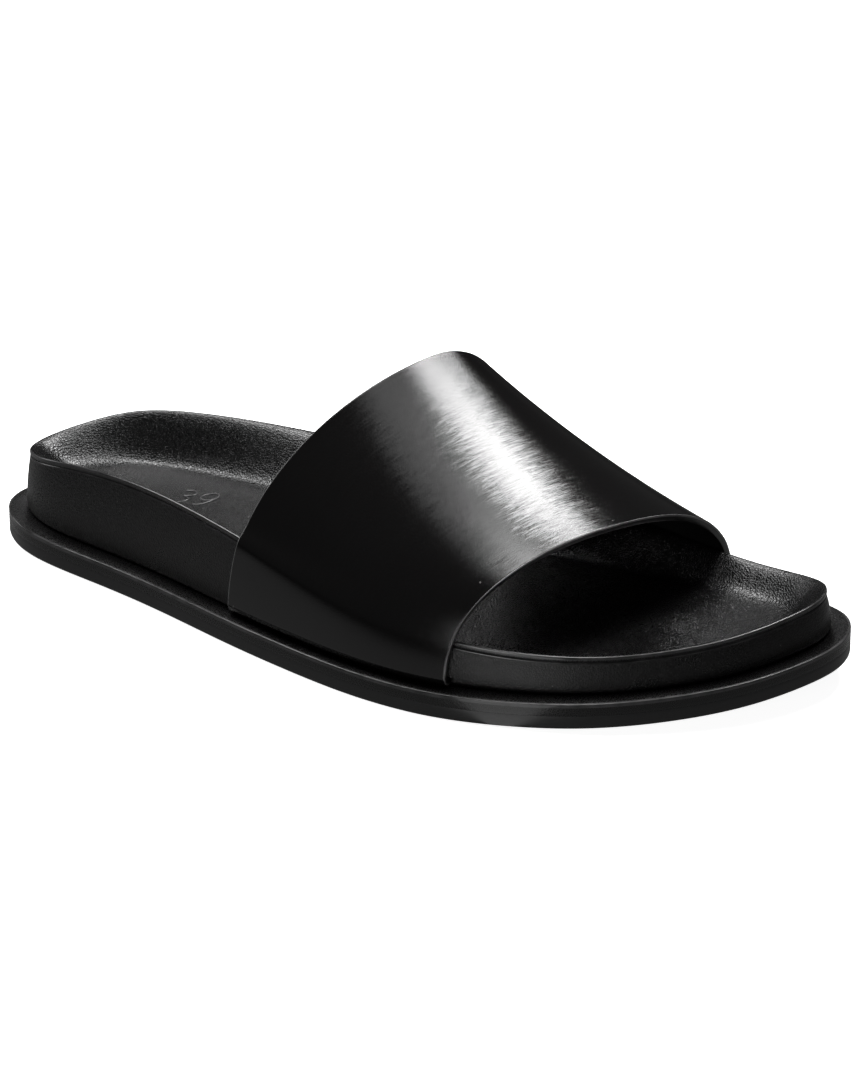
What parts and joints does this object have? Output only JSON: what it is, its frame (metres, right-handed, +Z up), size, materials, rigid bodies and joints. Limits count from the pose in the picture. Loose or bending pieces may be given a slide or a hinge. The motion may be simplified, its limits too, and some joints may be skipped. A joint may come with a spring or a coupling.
{
  "type": "slide sandal",
  "caption": "Right slide sandal: flat rubber outsole, covered welt, contoured leather footbed with raised rim, and one wide polished leather strap over the foot.",
  "frame": {"origin": "on the ground, at the middle of the sole's bounding box", "axes": "+X from heel to toe, +Y to the inner side of the right foot, +Z up"},
  "size_m": [0.27, 0.1021, 0.078],
  "materials": {
    "outsole_rubber": "satin, sanded edge",
    "welt_leather": "fine grain, satin",
    "footbed_leather": "pebbled grain, satin",
    "insole_leather": "pebbled grain, satin",
    "strap_leather": "smooth, brushed to a high polish"
  },
  "bodies": {
    "root": {"outsole": "outsole_rubber", "welt": "welt_leather", "footbed": "footbed_leather", "insole": "insole_leather", "strap": "strap_leather"}
  },
  "joints": []
}
